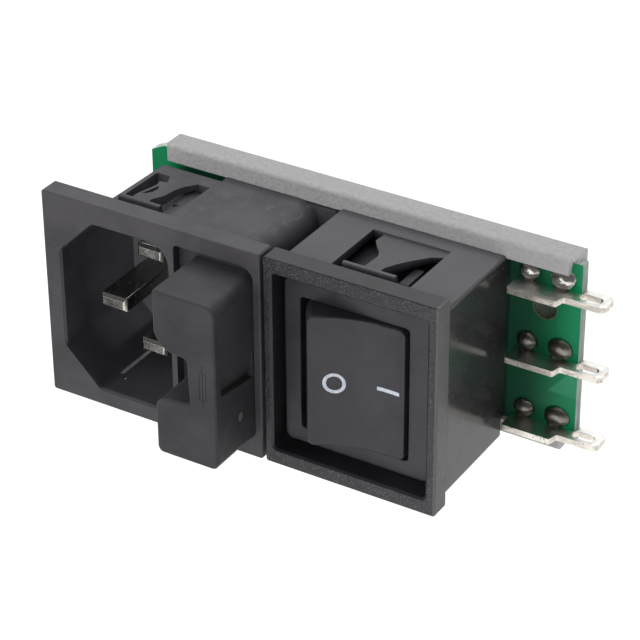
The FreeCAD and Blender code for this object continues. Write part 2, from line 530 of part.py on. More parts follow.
pcb = pcb.cut(cyl(WIRE_HOLE[2], (WIRE_HOLE[0], 18, WIRE_HOLE[1]), (WIRE_HOLE[0], 21, WIRE_HOLE[1])))
NODES["circuit_board"] = pcb

# -------------------------------------------------------------------- tabs
for tag, z in zip(("top", "middle", "bottom"), TAB_TOPS):
    pts = [(57.75, 15.2, 0.25), (64.4, 15.2, 0.25), (64.75, 16.6, 0.3), (69.7, 16.6, 0.25),
           (TAB_TIP_X, 17.15, 0.25), (TAB_TIP_X, 19.15, 0.25), (69.7, 19.7, 0.25),
           (66.55, 19.7, 0.2), (66.45, 18.5), (57.75, 18.5, 0.25)]
    t = slab_z(pts, z - TAB_T, z)
    slot = slab_z([(66.4, 17.25, 0.6), (69.3, 17.25, 0.6), (69.3, 18.7, 0.6), (66.4, 18.7, 0.6)], z - 2, z + 1)
    t = t.cut(slot)
    legs = [box(x - 0.6, x + 0.6, 18.2, LEG_END_Y, z - TAB_T, z) for x in (59.3, 63.1)]
    ears = [box(x - 0.6, x + 0.6, 18.1, 18.5, z - 0.2, z + 1.9) for x in (59.3, 63.6)]
    NODES["tab_" + tag] = fuse(t, *(legs + ears))

# ------------------------------------------------------------ edge channels
def channel(x0, x1, z_in, z_out, z_front, z_rear, r_rear):
    # u-section over the board's edge; walls 1.0 thick, outer corners rounded
    s = 1 if z_out > z_in else -1
    pts = [(17.5, z_front, 0.2), (17.5, z_out, 0.6), (21.4, z_out, r_rear), (21.4, z_rear, 0.2),
           (PCB_Y1, z_rear, 0.2), (PCB_Y1, z_in, 0.0), (PCB_Y0, z_in, 0.0), (PCB_Y0, z_front, 0.2)]
    # the ends are rounded too, more so at the rear left
    plan = slab_z([(x0, 17.4, 0.3), (x0, 21.5, 1.1), (x1, 21.5, 0.6), (x1, 17.4, 0.3)],
                  min(z_front, z_out) - 1, max(z_front, z_out) + 1)
    return slab_x(pts, x0, x1).common(plan)


top = channel(7.05, 65.6, PCB_Z1, 15.35, 12.75, 12.75, 1.0)
cutback = slab_y([(65.3, 15.0), (66.5, 15.1), (66.5, 12.0), (64.8, 12.0), (64.85, 13.6, 0.3), (65.0, 14.4, 0.3)],
                 17.0, PCB_Y0)
top = top.cut(cutback)
NODES["edge_channel_top"] = top
NODES["edge_channel_bottom"] = channel(7.05, 64.7, PCB_Z0, -12.45, -10.35, -10.35, 0.6)

# ----------------------------------------------------------- solder joints
front_domes = []
for z in TAB_TOPS:
    for x in (59.3, 63.8):
        rd = (DOME_R ** 2 + DOME_H ** 2) / (2 * DOME_H)
        dome = Part.makeSphere(rd, V(x, PCB_Y0 - DOME_H + rd, z + 1.35))
        half = box(x - 3, x + 3, PCB_Y0 - 3, PCB_Y0, z - 3, z + 5)
        dome = dome.common(half)
        for tag, zz in zip(("top", "middle", "bottom"), TAB_TOPS):
            if zz == z:
                dome = dome.cut(NODES["tab_" + tag])
        dome = dome.cut(NODES["edge_channel_top"])
        big = max(dome.Solids, key=lambda q: q.Volume)
        front_domes.append(big)
NODES["solder_front"] = Part.makeCompound(front_domes)

legs = [(x, z, 1.0, 0.5) for x, z, tip in PINS.values()]
legs += [(29.58, s * 8.4, 0.2, 0.6) for s in (-1, 1)] + [(20.32, s * 8.4, 0.2, 0.6) for s in (-1, 1)]
legs += [(PIVOT_X, s * POLE_Z, 0.6, 0.4) for s in (-1, 1)] + [(39.7, s * POLE_Z, 0.6, 0.4) for s in (-1, 1)]
for z in TAB_TOPS:
    legs += [(59.3, z - 0.4, 0.6, 0.4), (63.1, z - 0.4, 0.6, 0.4)]
rear_cones = []
for x, z, a, b in legs:
    r0 = max(a, b) + 0.85
    cone = Part.makeCone(r0, 0.75 * max(a, b) + 0.25, 1.0, V(x, PCB_Y1, z), V(0, 1, 0))
    cone = cone.cut(box(x - a, x + a, 17, 23, z - b, z + b))
    cone = cone.cut(NODES["edge_channel_top"]).cut(NODES["edge_channel_bottom"])
    rear_cones.append(max(cone.Solids, key=lambda q: q.Volume))
NODES["solder_rear"] = Part.makeCompound(rear_cones)

# ------------------------------------------------------------------- output
for name, shape in NODES.items():
    s = shape.copy()
    s.translate(V(-ORIGIN_X, -ORIGIN_Y, 0))
    bad = [q for q in s.Solids if not q.isValid()]
    if not s.Solids or bad:
        print("CHECK", name, len(s.Solids), "solids,", len(bad), "invalid")
    s.exportStep("parts/%s.step" % name)
    print("%-24s solids %d volume %.2f" % (name, len(s.Solids), s.Volume))
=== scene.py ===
import json
import math
import random

import bmesh
import bpy
from mathutils import Matrix, Vector, noise


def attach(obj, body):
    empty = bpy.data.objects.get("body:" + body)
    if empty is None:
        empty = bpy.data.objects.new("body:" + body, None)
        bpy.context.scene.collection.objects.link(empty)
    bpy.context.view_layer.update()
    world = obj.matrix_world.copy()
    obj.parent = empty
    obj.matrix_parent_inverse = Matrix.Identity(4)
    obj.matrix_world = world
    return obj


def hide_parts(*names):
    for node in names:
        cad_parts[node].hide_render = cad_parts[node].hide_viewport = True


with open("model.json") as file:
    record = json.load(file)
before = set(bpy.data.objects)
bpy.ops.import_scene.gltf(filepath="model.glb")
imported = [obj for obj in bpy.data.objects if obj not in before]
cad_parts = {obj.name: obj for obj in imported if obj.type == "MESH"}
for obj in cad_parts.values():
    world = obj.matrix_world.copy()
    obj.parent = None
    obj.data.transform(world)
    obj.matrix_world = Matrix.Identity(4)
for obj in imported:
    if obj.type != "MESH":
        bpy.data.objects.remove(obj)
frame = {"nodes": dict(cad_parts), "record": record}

N = frame["nodes"]
MM = 0.001
OX, OY = 28.4, 2.75          # the drawing's X, Y of the part's origin, in mm


def P(x, y, z):
    return Vector(((x - OX) * MM, (y - OY) * MM, z * MM))


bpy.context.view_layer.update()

# ------------------------------------------------------------------ camera
AZ, EL, ROLL = math.radians(31.39988), math.radians(31.38278), math.radians(0.31446)
EYE = P(179.00542, -226.49254, 170.24313)
back = Vector((math.sin(AZ) * math.cos(EL), -math.cos(AZ) * math.cos(EL), math.sin(EL)))
right = Vector((math.cos(AZ), math.sin(AZ), 0.0))
up = back.cross(right)
r2 = right * math.cos(ROLL) - up * math.sin(ROLL)
u2 = right * math.sin(ROLL) + up * math.cos(ROLL)
cam_data = bpy.data.cameras.new("camera")
cam_data.sensor_width = 36.0
cam_data.lens = 36.0 * 2600.4564 / 640.0
cam_data.clip_start, cam_data.clip_end = 0.01, 20.0
cam = bpy.data.objects.new("camera", cam_data)
bpy.context.scene.collection.objects.link(cam)
cam.matrix_world = Matrix((
    (r2.x, u2.x, back.x, EYE.x),
    (r2.y, u2.y, back.y, EYE.y),
    (r2.z, u2.z, back.z, EYE.z),
    (0, 0, 0, 1)))
bpy.context.scene.camera = cam


# -------------------------------------------------------------- node helper
class Mat:
    def __init__(self, name):
        self.m = bpy.data.materials.new(name)
        self.m.use_nodes = True
        self.t = self.m.node_tree
        self.t.nodes.clear()
        self.out = self.node("ShaderNodeOutputMaterial")
        self.b = self.node("ShaderNodeBsdfPrincipled")
        self.link(self.b.outputs[0], self.out.inputs[0])
        self.tc = self.node("ShaderNodeTexCoord")
        self.pos = self.tc.outputs["Object"]

    def node(self, kind, **kw):
        n = self.t.nodes.new(kind)
        for k, v in kw.items():
            setattr(n, k, v)
        return n

    def link(self, a, b):
        self.t.links.new(a, b)

    def put(self, sock, v):
        if hasattr(v, "links") or hasattr(v, "is_linked"):
            self.link(v, sock)
        else:
            sock.default_value = v

    def noise(self, scale, detail=3.0, rough=0.5, dist=0.0, vec=None, stretch=None):
        v = vec or self.pos
        if stretch:
            mp = self.node("ShaderNodeMapping")
            self.link(v, mp.inputs[0])
            mp.inputs["Scale"].default_value = stretch
            v = mp.outputs[0]
        n = self.node("ShaderNodeTexNoise")
        self.link(v, n.inputs["Vector"])
        n.inputs["Scale"].default_value = scale
        n.inputs["Detail"].default_value = detail
        n.inputs["Roughness"].default_value = rough
        n.inputs["Distortion"].default_value = dist
        return n.outputs[0]

    def voronoi(self, scale, feature="F1", rnd=1.0, vec=None):
        n = self.node("ShaderNodeTexVoronoi", feature=feature)
        self.link(vec or self.pos, n.inputs["Vector"])
        n.inputs["Scale"].default_value = scale
        n.inputs["Randomness"].default_value = rnd
        return n.outputs[0]

    def math(self, op, a, b=0.0, c=0.0, clamp=False):
        n = self.node("ShaderNodeMath", operation=op, use_clamp=clamp)
        self.put(n.inputs[0], a)
        self.put(n.inputs[1], b)
        self.put(n.inputs[2], c)
        return n.outputs[0]

    def ramp(self, v, a, b, lo=0.0, hi=1.0, smooth=True):
        n = self.node("ShaderNodeMapRange", interpolation_type="SMOOTHSTEP" if smooth else "LINEAR")
        self.put(n.inputs["Value"], v)
        n.inputs["From Min"].default_value = a
        n.inputs["From Max"].default_value = b
        n.inputs["To Min"].default_value = lo
        n.inputs["To Max"].default_value = hi
        return n.outputs[0]

    def mix(self, f, a, b):
        n = self.node("ShaderNodeMix", data_type="RGBA")
        self.put(n.inputs[0], f)
        for s, v in ((n.inputs[6], a), (n.inputs[7], b)):
            if isinstance(v, tuple):
                s.default_value = (*v[:3], 1.0)
            else:
                self.link(v, s)
        return n.outputs[2]

    def xyz(self, which="Object"):
        n = self.node("ShaderNodeSeparateXYZ")
        self.link(self.tc.outputs[which], n.inputs[0])
        return n.outputs[0], n.outputs[1], n.outputs[2]

    def bump(self, height, strength, distance, prev=None):
        n = self.node("ShaderNodeBump")
        self.put(n.inputs["Strength"], strength)
        n.inputs["Distance"].default_value = distance
        self.link(height, n.inputs["Height"])
        if prev is not None:
            self.link(prev, n.inputs["Normal"])
        self.link(n.outputs[0], self.b.inputs["Normal"])
        return n.outputs[0]


def col(c, k):
    return tuple(x * k for x in c[:3])


def plastic(name, c, rough, grain=5200.0, grain_h=0.000006, strength=0.35, spec=0.5,
            mottle=0.18, specks=0.0, lumps=0.25, front=None, extra=None):
    # moulded black thermoplastic: fine eroded grain, faint cloudiness, a little dust
    m = Mat(name)
    cloud = m.noise(160.0, 3.0, 0.55)
    fine = m.noise(grain, 2.0, 0.6)
    base = m.mix(m.ramp(cloud, 0.3, 0.7), col(c, 1 - mottle), col(c, 1 + mottle))
    base = m.mix(m.ramp(fine, 0.62, 0.8, 0.0, 0.35), base, col(c, 1.9))
    if specks:
        dust = m.voronoi(900.0)
        base = m.mix(m.math("MULTIPLY", m.ramp(dust, 0.06, 0.02), specks), base, (0.32, 0.31, 0.30))
    r = m.math("ADD", m.ramp(m.noise(420.0, 3.0, 0.6), 0.25, 0.75, rough - 0.05, rough + 0.06),
               m.ramp(fine, 0.3, 0.7, -0.04, 0.05))
    m.b.inputs["Specular IOR Level"].default_value = spec
    wave = m.bump(m.noise(75.0, 2.0, 0.5), lumps, 0.00004)
    if front:
        # coarse eroded texture on the faces that look to the front only, with painted glints: pale specks painted into
        # the colour there
        nx, ny, nz = m.xyz("Normal")
        k = m.ramp(ny, -0.97, -0.80, 1.0, 0.0)
        g = m.math("ADD", m.noise(front[0], 3.0, 0.7), m.math("MULTIPLY", m.voronoi(front[0] * 1.3), 0.5))
        wave = m.bump(g, m.math("MULTIPLY", k, front[2]), front[1], wave)
        painted_glint = m.math("MULTIPLY", k, m.ramp(m.noise(front[0] * 1.5, 2.0, 0.6), 0.54, 0.70))
        base = m.mix(m.math("MULTIPLY", painted_glint, front[3]), base, (0.13, 0.128, 0.133))
    if extra:
        base, r, wave = extra(m, base, r, wave)
    m.link(base, m.b.inputs["Base Color"])
    m.link(r, m.b.inputs["Roughness"])
    m.bump(fine, strength, grain_h, wave)
    return m.m


def patch(m, x0, x1, y0, y1, z0, z1, soft):
    # 1 inside a box of the drawing's coordinates, fading over soft mm
    x, y, z = m.xyz("Object")
    out = None
    for c, a, b, o in ((x, x0, x1, OX), (y, y0, y1, OY), (z, z0, z1, 0.0)):
        f = m.math("MULTIPLY", m.ramp(c, (a - o - soft) * MM, (a - o + soft) * MM),
                   m.ramp(c, (b - o + soft) * MM, (b - o - soft) * MM))
        out = f if out is None else m.math("MULTIPLY", out, f)
    return out


def housing_painted_light(m, base, r, wave):
    # painted sheen: faint pale streaky patches painted on the top of the inlet body, where it catches the light
    n = m.ramp(m.noise(700.0, 5.0, 0.72, stretch=(1.0, 0.45, 1.0)), 0.50, 0.72)
    for q, k in (((24.4, 29.6, 8.6, 13.8, 12.6, 13.8, 1.6), 0.22), ((27.0, 30.6, 12.0, 16.0, 12.4, 13.8, 1.2), 0.26),
                 ((2.0, 7.5, 4.0, 14.0, 8.0, 13.6, 1.5), 0.12), ((8.0, 30.0, 2.9, 16.0, 12.6, 13.8, 1.0), 0.08)):
        base = m.mix(m.math("MULTIPLY", m.math("MULTIPLY", patch(m, *q), n), k), base, (0.30, 0.295, 0.31))
    # painted light: the recess floor and the deep half of its walls are painted a little paler, standing in for light
    # bounced inside the recess
    x, y, z = m.xyz("Object")
    recess_painted_light = m.math("MULTIPLY", patch(m, 0.8, 17.5, 3.0, 17.6, -10.4, 10.4, 0.3),
                  m.ramp(y, (4.5 - OY) * MM, (13.0 - OY) * MM, 0.0, 0.46, smooth=False))
    base = m.mix(recess_painted_light, base, (0.22, 0.215, 0.235))
    return base, r, wave


def frame_side(m, base, r, wave):
    # painted sheen: the frame's right side strip is painted paler than the housing behind it,
    # and the housing's own right side is smooth, almost glossy, and painted a little paler too
    strip = patch(m, 56.55, 57.2, -0.5, 2.75, -15.2, 15.2, 0.12)
    base = m.mix(m.math("MULTIPLY", strip, 0.9), base, SIDE_PAINTED_SHEEN)
    wall = patch(m, 56.2, 57.2, 3.2, 19.0, -14.0, 14.0, 0.25)
    r = m.math("SUBTRACT", r, m.math("MULTIPLY", wall, 0.22))
    base = m.mix(m.math("MULTIPLY", wall, 0.35), base, (0.060, 0.059, 0.058))
    # painted sheen: the top of the switch housing is painted paler, more so towards the rear
    top = patch(m, 33.0, 57.0, 3.0, 19.0, 12.9, 14.5, 0.25)
    x, y, z = m.xyz("Object")
    painted_rear_sheen = m.ramp(y, (3.0 - OY) * MM, (18.0 - OY) * MM, 0.10, 0.16, smooth=False)
    base = m.mix(m.math("MULTIPLY", top, painted_rear_sheen), base, (0.30, 0.295, 0.315))
    dust = m.ramp(m.voronoi(620.0), 0.055, 0.03)
    base = m.mix(m.math("MULTIPLY", m.math("MULTIPLY", wall, dust), 0.5), base, (0.30, 0.30, 0.28))
    return base, r, wave


def drawer_mark(m, base, r, wave):
    # pale ejector mark on the grip's right side
    x, y, z = m.xyz("Object")
    a = m.math("DIVIDE", m.math("SUBTRACT", y, (-3.0 - OY) * MM), 0.55 * MM)
    b = m.math("DIVIDE", m.math("SUBTRACT", z, -7.15 * MM), 0.85 * MM)
    d = m.math("SQRT", m.math("ADD", m.math("MULTIPLY", a, a), m.math("MULTIPLY", b, b)))
    k = m.math("MULTIPLY", m.ramp(d, 1.0, 0.7), m.ramp(x, (30.7 - OX) * MM, (30.9 - OX) * MM))
    k = m.math("MULTIPLY", k, m.ramp(m.noise(1400.0, 3.0, 0.6), 0.25, 0.65, 0.35, 1.0))
    return m.mix(m.math("MULTIPLY", k, 0.75), base, (0.15, 0.15, 0.155)), r, wave


SIDE_PAINTED_SHEEN = (0.085, 0.082, 0.087)


def metal(name, c, rough, spread=0.06, scale=700.0, bump=0.2, dirt=0.0, dirt_col=(0.2, 0.17, 0.13), stretch=None,
          shade=None):
    m = Mat(name)
    m.b.inputs["Metallic"].default_value = 1.0
    n1 = m.noise(scale, 4.0, 0.6, stretch=stretch)
    base = m.mix(m.ramp(n1, 0.3, 0.7), col(c, 0.88), col(c, 1.0))
    if dirt:
        base = m.mix(m.math("MULTIPLY", m.ramp(m.noise(320.0, 5.0, 0.7), 0.55, 0.75), dirt), base, dirt_col)
    if shade:
        # painted shade: the blade's sides, the faces that do not look along it, are darkened
        nx, ny, nz = m.xyz("Normal")
        k = m.math("MULTIPLY", m.ramp(m.math("ABSOLUTE", ny), 0.55, 0.25), 1.0 - shade[1])
        base = m.mix(k, base, col(c, shade[1] * 0.4))
    m.link(base, m.b.inputs["Base Color"])
    m.link(m.ramp(n1, 0.25, 0.75, max(0.02, rough - spread), rough + spread), m.b.inputs["Roughness"])
    m.bump(m.noise(scale * 2.2, 3.0, 0.6, stretch=stretch), bump, 0.000006)
    return m.m


# ---------------------------------------------------------------- materials
M = {}
M["housing_plastic"] = plastic("housing_plastic", (0.046, 0.0435, 0.049), 0.48, grain=4200, grain_h=0.000008,
                               strength=0.45, specks=0.15, spec=0.33, front=(3600.0, 0.000016, 0.35, 0.25), extra=housing_painted_light)
M["drawer_plastic"] = plastic("drawer_plastic", (0.0345, 0.0328, 0.0365), 0.54, grain=3800, grain_h=0.000030,
                              strength=0.9, specks=0.4, spec=0.24, extra=drawer_mark)
M["frame_plastic"] = plastic("frame_plastic", (0.0160, 0.0145, 0.0176), 0.42, grain=4200, grain_h=0.000006,
                             strength=0.3, specks=0.1, spec=0.45, front=(4600.0, 0.00005, 1.0, 0.8), extra=frame_side)
M["bezel_plastic"] = plastic("bezel_plastic", (0.0220, 0.0202, 0.0260), 0.38, grain=6000, grain_h=0.000004,
                             strength=0.3, specks=0.1, spec=0.45)
M["rocker_plastic"] = plastic("rocker_plastic", (0.0186, 0.0167, 0.0222), 0.42, grain=6000, grain_h=0.000004,
                              strength=0.3, specks=0.1)
M["plunger_plastic"] = plastic("plunger_plastic", (0.72, 0.70, 0.64), 0.4, mottle=0.04)
M["nickel"] = metal("nickel", (0.66, 0.645, 0.61), 0.24, 0.05, bump=0.03, dirt=0.12, shade=(1.2, 0.50))
M["solder"] = metal("solder", (0.78, 0.76, 0.71), 0.22, 0.06, 900.0, 0.35, dirt=0.25, dirt_col=(0.30, 0.25, 0.18))
# painted shade: a darker copy of the solder for the lower joints
M["solder_painted_shade"] = metal("solder_painted_shade", (0.29, 0.275, 0.240), 0.33, 0.05, 900.0, 0.3, dirt=0.35, dirt_col=(0.10, 0.085, 0.06))
M["spring_brass"] = metal("spring_brass", (0.74, 0.62, 0.38), 0.3, 0.06)
M["contact_brass"] = metal("contact_brass", (0.78, 0.56, 0.33), 0.26, 0.06)
M["silver"] = metal("silver", (0.86, 0.85, 0.82), 0.2, 0.05)
M["spring_steel"] = metal("spring_steel", (0.58, 0.58, 0.58), 0.25, 0.05)
M["fuse_wire"] = metal("fuse_wire", (0.66, 0.64, 0.60), 0.3, 0.05)


def tinned(name):
    # tin-plated strip: dull rolled faces, rougher cream-coloured cut edges with pits
    m = Mat(name)
    m.b.inputs["Metallic"].default_value = 1.0
    nx, ny, nz = m.xyz("Normal")
    flat = m.ramp(m.math("ABSOLUTE", nz), 0.75, 0.95)
    streak = m.noise(1100.0, 4.0, 0.65, stretch=(0.35, 1.0, 1.0))
    blot = m.noise(260.0, 4.0, 0.6)
    face = m.mix(m.ramp(blot, 0.35, 0.7), (0.80, 0.795, 0.76), (0.90, 0.89, 0.85))
    edge = m.mix(m.ramp(streak, 0.35, 0.65), (0.56, 0.52, 0.46), (0.92, 0.87, 0.80))
    base = m.mix(flat, edge, face)
    pit = m.ramp(m.voronoi(1700.0), 0.26, 0.12)
    pit = m.math("MULTIPLY", pit, m.ramp(m.noise(600.0, 2.0, 0.5), 0.40, 0.58))
    pit = m.math("MULTIPLY", pit, m.math("SUBTRACT", 1.0, flat))
    base = m.mix(m.math("MULTIPLY", pit, 0.75), base, (0.14, 0.11, 0.085))
    m.link(base, m.b.inputs["Base Color"])
    r = m.ramp(flat, 0.0, 1.0, 0.36, 0.34, smooth=False)
    m.link(m.math("ADD", r, m.ramp(streak, 0.3, 0.7, -0.03, 0.06)), m.b.inputs["Roughness"])
    m.bump(m.noise(2200.0, 3.0, 0.6, stretch=(0.5, 1.0, 1.0)), 0.5, 0.000012)
    return m.m


M["tinned_tab"] = tinned("tinned_tab")


def channel(name):
    # grey fibrous strip: matt, felted, even, with small pits and darker flecks
    m = Mat(name)
    f1 = m.noise(1700.0, 5.0, 0.7)
    f2 = m.noise(3400.0, 3.0, 0.65)
    base = m.mix(m.ramp(f1, 0.3, 0.7), (0.290, 0.284, 0.290), (0.355, 0.350, 0.356))
    base = m.mix(m.ramp(f2, 0.58, 0.74, 0.0, 0.38), base, (0.13, 0.125, 0.13))
    nx, ny, nz = m.xyz("Normal")
    # painted light: the faces that look to +X are painted much paler
    base = m.mix(m.math("MULTIPLY", m.ramp(nx, 0.6, 0.95), 0.7), base, (0.62, 0.61, 0.61))
    m.link(base, m.b.inputs["Base Color"])
    m.link(m.ramp(f1, 0.3, 0.7, 0.72, 0.92), m.b.inputs["Roughness"])
    m.b.inputs["Specular IOR Level"].default_value = 0.3
    a = m.bump(f1, 1.0, 0.00015)
    m.bump(f2, 0.8, 0.00005, a)
    return m.m


M["channel_grey"] = channel("channel_grey")


def board(name):
    # green solder mask over copper on both faces, pale glass-fibre cut edges
    m = Mat(name)
    x, y, z = m.xyz("Object")
    nx, ny, nz = m.xyz("Normal")
    face = m.ramp(m.math("ABSOLUTE", ny), 0.6, 0.85)

    def zone(x0, x1, z0, z1, soft=0.00018):
        a = m.math("MULTIPLY", m.ramp(x, (x0 - OX) * MM - soft, (x0 - OX) * MM + soft),
                   m.ramp(x, (x1 - OX) * MM + soft, (x1 - OX) * MM - soft))
        b = m.math("MULTIPLY", m.ramp(z, z0 * MM - soft, z0 * MM + soft),
                   m.ramp(z, z1 * MM + soft, z1 * MM - soft))
        return m.math("MULTIPLY", a, b)

    pads = None
    for q in ((38.0, 56.0, -10.6, -5.6), (38.0, 56.0, 5.0, 9.4),
              (7.0, 22.0, -9.2, -5.4), (7.0, 36.0, 4.2, 9.4), (26.5, 31.5, -10.6, 2.0)):
        p = zone(*q)
        pads = p if pads is None else m.math("MAXIMUM", pads, p)
    # a paler slanted patch painted on both faces of the board
    quad = ((62.43, -4.68), (64.77, -1.86), (67.0, -1.63), (67.0, -4.80))
    inside = None
    for (ax, az), (bx, bz) in zip(quad, quad[1:] + quad[:1]):
        ln = math.hypot(bx - ax, bz - az)
        px, pz = (bz - az) / ln, -(bx - ax) / ln
        dist = m.math("ADD", m.math("MULTIPLY", x, px), m.math("MULTIPLY", z, pz))
        off = ((ax - OX) * px + az * pz) * MM
        e = m.ramp(dist, off - 0.00015, off + 0.00015)
        inside = e if inside is None else m.math("MULTIPLY", inside, e)
    cloud = m.noise(210.0, 4.0, 0.55)
    mask = m.mix(m.ramp(cloud, 0.3, 0.7), (0.0045, 0.178, 0.068), (0.007, 0.212, 0.084))
    cop = m.mix(m.ramp(cloud, 0.3, 0.7), (0.026, 0.235, 0.120), (0.032, 0.260, 0.135))
    green = m.mix(pads, mask, cop)
    # painted shade: the front face is darkened behind the housings
    shade = m.ramp(x, (59.2 - OX) * MM, (66.4 - OX) * MM, 0.93, 0.0)
    shade = m.math("MULTIPLY", shade, m.ramp(x, (6.5 - OX) * MM, (10.0 - OX) * MM))
    shade = m.math("MULTIPLY", shade, m.ramp(ny, -0.8, -0.5, 1.0, 0.0))
    green = m.mix(shade, green, (0.006, 0.036, 0.020))
    green = m.mix(m.math("MULTIPLY", inside, 0.45), green, (0.050, 0.270, 0.160))
    weave = m.noise(2600.0, 3.0, 0.6, stretch=(1.0, 1.0, 0.16))
    cut = m.mix(m.ramp(weave, 0.3, 0.7), (0.24, 0.29, 0.26), (0.42, 0.475, 0.435))
    m.link(m.mix(face, cut, green), m.b.inputs["Base Color"])
    m.link(m.ramp(face, 0.0, 1.0, 0.7, 0.30, smooth=False), m.b.inputs["Roughness"])
    m.b.inputs["Specular IOR Level"].default_value = 0.17
    a = m.bump(pads, 0.5, 0.00003)
    a = m.bump(m.noise(340.0, 2.0, 0.5), 0.25, 0.00002, a)
    m.bump(m.noise(2400.0, 2.0, 0.5), m.ramp(face, 0.0, 1.0, 0.6, 0.08, smooth=False), 0.000012, a)
    return m.m


M["board"] = board("board")

glass = Mat("fuse_glass")
glass.b.inputs["Base Color"].default_value = (0.95, 0.98, 0.97, 1.0)
glass.b.inputs["Transmission Weight"].default_value = 1.0
glass.b.inputs["IOR"].default_value = 1.47
glass.link(glass.ramp(glass.noise(300.0), 0.3, 0.7, 0.01, 0.05), glass.b.inputs["Roughness"])
M["fuse_glass"] = glass.m

prnt = Mat("print_pale")
prnt.link(prnt.mix(prnt.ramp(prnt.noise(2500.0, 3.0, 0.6), 0.35, 0.75), (0.40, 0.44, 0.50), (0.54, 0.58, 0.64)),
          prnt.b.inputs["Base Color"])
prnt.link(prnt.ramp(prnt.noise(1800.0), 0.3, 0.7, 0.45, 0.6), prnt.b.inputs["Roughness"])

dark = Mat("hole_ring")
dark.link(dark.mix(dark.ramp(dark.noise(1500.0, 3.0, 0.6), 0.35, 0.7), (0.040, 0.040, 0.018), (0.070, 0.056, 0.024)),
          dark.b.inputs["Base Color"])
dark.link(dark.ramp(dark.noise(900.0), 0.3, 0.7, 0.3, 0.5), dark.b.inputs["Roughness"])

plug = Mat("hole_plug")
plug.link(plug.mix(plug.ramp(plug.noise(1100.0, 3.0, 0.6), 0.35, 0.7), (0.018, 0.026, 0.018), (0.034, 0.044, 0.034)),
          plug.b.inputs["Base Color"])
plug.link(plug.ramp(plug.noise(700.0), 0.3, 0.7, 0.35, 0.55), plug.b.inputs["Roughness"])
plug.bump(plug.noise(500.0, 3.0, 0.6), 0.3, 0.00004)

# --------------------------------------------------- finish the CAD's nodes
slots = {s["node"]: s["material_slot"] for s in frame["record"]["subparts"]}
BEVEL = {"inlet_housing": 0.09, "fuse_drawer": 0.1, "switch_housing": 0.08, "switch_case": 0.08, "rocker": 0.08,
         "circuit_board": 0.05, "tab_top": 0.07, "tab_middle": 0.07, "tab_bottom": 0.07,
         "edge_channel_top": 0.30, "edge_channel_bottom": 0.25,
         "pin_line": 0.15, "pin_neutral": 0.15, "pin_earth": 0.15}
for name, obj in N.items():
    me = obj.data
    me.materials.clear()
    me.materials.append(M[slots[name]])
    for p in me.polygons:
        p.use_smooth = True
    w = obj.modifiers.new("weld", "WELD")
    w.merge_threshold = 0.000002
    if not name.startswith("tab_") and name != "circuit_board":
        d = obj.modifiers.new("planar", "DECIMATE")
        d.decimate_type = "DISSOLVE"
        d.angle_limit = math.radians(0.6)
    if name in BEVEL:
        b = obj.modifiers.new("edge", "BEVEL")
        b.width = BEVEL[name] * MM
        b.segments = 3
        b.limit_method = "ANGLE"
        b.angle_limit = math.radians(32)
        b.use_clamp_overlap = True
        b.miter_outer = "MITER_ARC"
    wn = obj.modifiers.new("normals", "WEIGHTED_NORMAL")
    wn.keep_sharp = False
    wn.weight = 80


def mesh_piece(name, verts, faces, material, body, slot, smooth=True):
    me = bpy.data.meshes.new(name)
    me.from_pydata([tuple(v) for v in verts], [], faces)
    bm = bmesh.new()
    bm.from_mesh(me)
    bmesh.ops.recalc_face_normals(bm, faces=bm.faces)
    bm.to_mesh(me)
    bm.free()
    me.materials.append(material)
    for p in me.polygons:
        p.use_smooth = smooth
    o = bpy.data.objects.new(name, me)
    bpy.context.scene.collection.objects.link(o)
    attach(o, body)
    return o


# ------------------------------------------- the rocker's O and I, as print
PIV = (44.55, 4.65)
TILT = math.radians(13.5)
FACE_R, FACE_C = 17.464, -21.124


def on_rocker(x, z, lift):
    # a point of the rocker's hollow face, x from the pivot, before the tilt
    y = FACE_C + math.sqrt(FACE_R ** 2 - x * x) - lift
    c, s = math.cos(TILT), math.sin(TILT)
    return P(PIV[0] + x * c - y * s, PIV[1] + x * s + y * c, z)


def ring_on_rocker(xc, zc, r_in, r_out, n=72):
    v, f = [], []
    for i in range(n):
        a = 2 * math.pi * i / n
        for r, lift in ((r_in, -0.03), (r_in, 0.012), (r_in + 0.03, 0.02), (r_out - 0.03, 0.02), (r_out, 0.012), (r_out, -0.03)):
            v.append(on_rocker(xc + r * math.cos(a), zc + r * math.sin(a), lift))
    for i in range(n):
        j = (i + 1) % n
        for k in range(6):
            f.append((i * 6 + k, i * 6 + (k + 1) % 6, j * 6 + (k + 1) % 6, j * 6 + k))
    return v, f


def bar_on_rocker(x0, x1, zc, t, n=24):
    v, f = [], []
    for i in range(n + 1):
        x = x0 + (x1 - x0) * i / n
        for dz, lift in ((-t / 2, -0.03), (-t / 2, 0.012), (-t / 2 + 0.03, 0.02), (t / 2 - 0.03, 0.02), (t / 2, 0.012), (t / 2, -0.03)):
            v.append(on_rocker(x, zc + dz, lift))
    for i in range(n):
        for k in range(6):
            f.append((i * 6 + k, i * 6 + (k + 1) % 6, (i + 1) * 6 + (k + 1) % 6, (i + 1) * 6 + k))
    f.append(tuple(range(6)))
    f.append(tuple(n * 6 + k for k in range(6)))
    return v, f


mesh_piece("print_o", *ring_on_rocker(-2.92, -0.1, 0.99, 1.43), prnt.m, "rocker", "rocker_plastic")
mesh_piece("print_i", *bar_on_rocker(2.45, 5.45, 0.2, 0.52), prnt.m, "rocker", "rocker_plastic")


